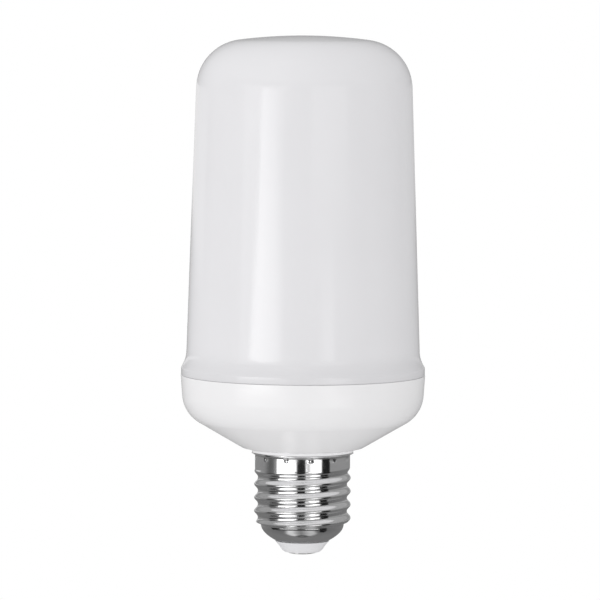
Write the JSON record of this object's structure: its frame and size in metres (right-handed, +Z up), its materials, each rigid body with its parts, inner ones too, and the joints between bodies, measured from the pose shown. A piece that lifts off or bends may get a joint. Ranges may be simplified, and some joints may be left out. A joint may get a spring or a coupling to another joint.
{
  "type": "flame effect led bulb",
  "caption": "Screw-in lamp with a tapered opal cover, white bowl housing and E27 cap; an LED core inside gives a flame-like flicker.",
  "frame": {"origin": "middle of the centre contact's flat face, on the lamp's axis, at the lowest point of the cap", "axes": "+Z runs up the lamp's axis from the screw cap to the cover's crown; -Y faces the picture's camera"},
  "size_m": [0.066, 0.066, 0.14],
  "materials": {
    "opal_cover": "opal, soft gloss",
    "housing_white": "white, satin moulded",
    "nickel_shell": "bright nickel plate",
    "insulator_white": "white, matt moulded",
    "contact_metal": "tinned",
    "carrier_white": "white, matt moulded",
    "led_board": "white solder mask with yellow LED faces",
    "circuit_board": "green solder mask",
    "package_black": "moulded epoxy",
    "capacitor_sleeve": "shrunk sleeve",
    "ferrite": "sintered",
    "copper_winding": "enamelled copper wire",
    "resistor_coat": "dipped coating",
    "wire_red": "insulated wire",
    "wire_black": "insulated wire",
    "screw_steel": "zinc plated"
  },
  "bodies": {
    "root": {"diffuser": "opal_cover", "housing": "housing_white", "cap_shell": "nickel_shell", "cap_insulator": "insulator_white", "centre_contact": "contact_metal", "led_core_tube": "carrier_white", "led_flex_board": "led_board", "top_led_board": "led_board", "control_board": "circuit_board", "microcontroller": "package_black", "supply_capacitor": "capacitor_sleeve", "row_transistor_1": "package_black", "row_transistor_2": "package_black", "row_transistor_3": "package_black", "row_transistor_4": "package_black", "row_transistor_5": "package_black", "row_transistor_6": "package_black", "row_transistor_7": "package_black", "row_transistor_8": "package_black", "driver_board": "circuit_board", "bridge_rectifier": "package_black", "mains_capacitor": "capacitor_sleeve", "output_capacitor": "capacitor_sleeve", "choke_core": "ferrite", "choke_winding": "copper_winding", "driver_chip": "package_black", "freewheel_diode": "package_black", "fuse_resistor": "resistor_coat", "live_wire": "wire_red", "neutral_wire": "wire_black", "dc_lead_positive": "wire_red", "dc_lead_negative": "wire_black", "top_lead_positive": "wire_red", "top_lead_negative": "wire_black", "core_screw_1": "screw_steel", "core_screw_2": "screw_steel", "core_screw_3": "screw_steel"}
  },
  "joints": []
}
